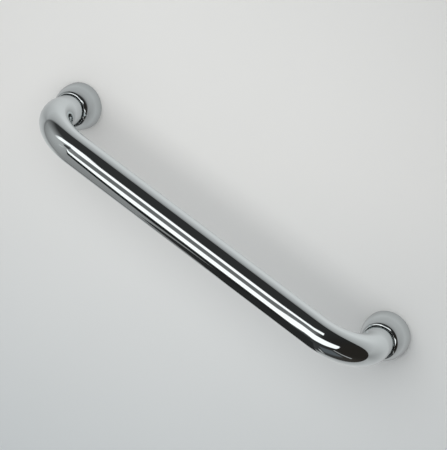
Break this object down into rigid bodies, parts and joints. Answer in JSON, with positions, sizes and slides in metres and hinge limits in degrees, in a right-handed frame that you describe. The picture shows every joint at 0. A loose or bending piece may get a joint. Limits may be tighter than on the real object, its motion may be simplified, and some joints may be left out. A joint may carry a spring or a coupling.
{
  "type": "grab rail",
  "caption": "Bent round tube grab rail with domed covers that slide up and turn on its legs over concealed bolted feet.",
  "frame": {"origin": "on the mounting surface, midway between the two feet", "axes": "+X along the bar from the left foot to the right foot, +Z away from the mounting surface, +Y across the bar"},
  "size_m": [0.343, 0.038, 0.08],
  "materials": {
    "tube_polished_steel": "mirror polished",
    "cover_chrome": "mirror polished, a little softer than the tube",
    "plate_steel": "brushed",
    "plug_aluminium": "turned",
    "insert_steel": "turned",
    "screw_steel": "machined",
    "gasket_rubber": "matt",
    "o_ring_rubber": "satin",
    "neck_ring_nylon": "satin"
  },
  "bodies": {
    "rail": {"rail_tube": "tube_polished_steel", "left_base_gasket": "gasket_rubber", "left_base_plate": "plate_steel", "left_rim_o_ring": "o_ring_rubber", "left_foot_plug": "plug_aluminium", "left_threaded_insert": "insert_steel", "left_plate_screws": "screw_steel", "left_set_screws": "screw_steel", "right_base_gasket": "gasket_rubber", "right_base_plate": "plate_steel", "right_rim_o_ring": "o_ring_rubber", "right_foot_plug": "plug_aluminium", "right_threaded_insert": "insert_steel", "right_plate_screws": "screw_steel", "right_set_screws": "screw_steel"},
    "left_neck": {"left_neck_ring": "neck_ring_nylon"},
    "left_dome": {"left_cover": "cover_chrome"},
    "right_neck": {"right_neck_ring": "neck_ring_nylon"},
    "right_dome": {"right_cover": "cover_chrome"}
  },
  "joints": [
    {"name": "left_cover_slide", "type": "slide", "parent": "rail", "child": "left_neck", "axis": [0, 0, 1], "range_m": [0, 0.0107]},
    {"name": "left_cover_turn", "type": "hinge", "parent": "left_neck", "child": "left_dome", "pos_m": [-0.1525, 0, 0.01], "axis": [0, 0, 1], "continuous": true},
    {"name": "right_cover_slide", "type": "slide", "parent": "rail", "child": "right_neck", "axis": [0, 0, 1], "range_m": [0, 0.0107]},
    {"name": "right_cover_turn", "type": "hinge", "parent": "right_neck", "child": "right_dome", "pos_m": [0.1525, 0, 0.01], "axis": [0, 0, 1], "continuous": true}
  ]
}
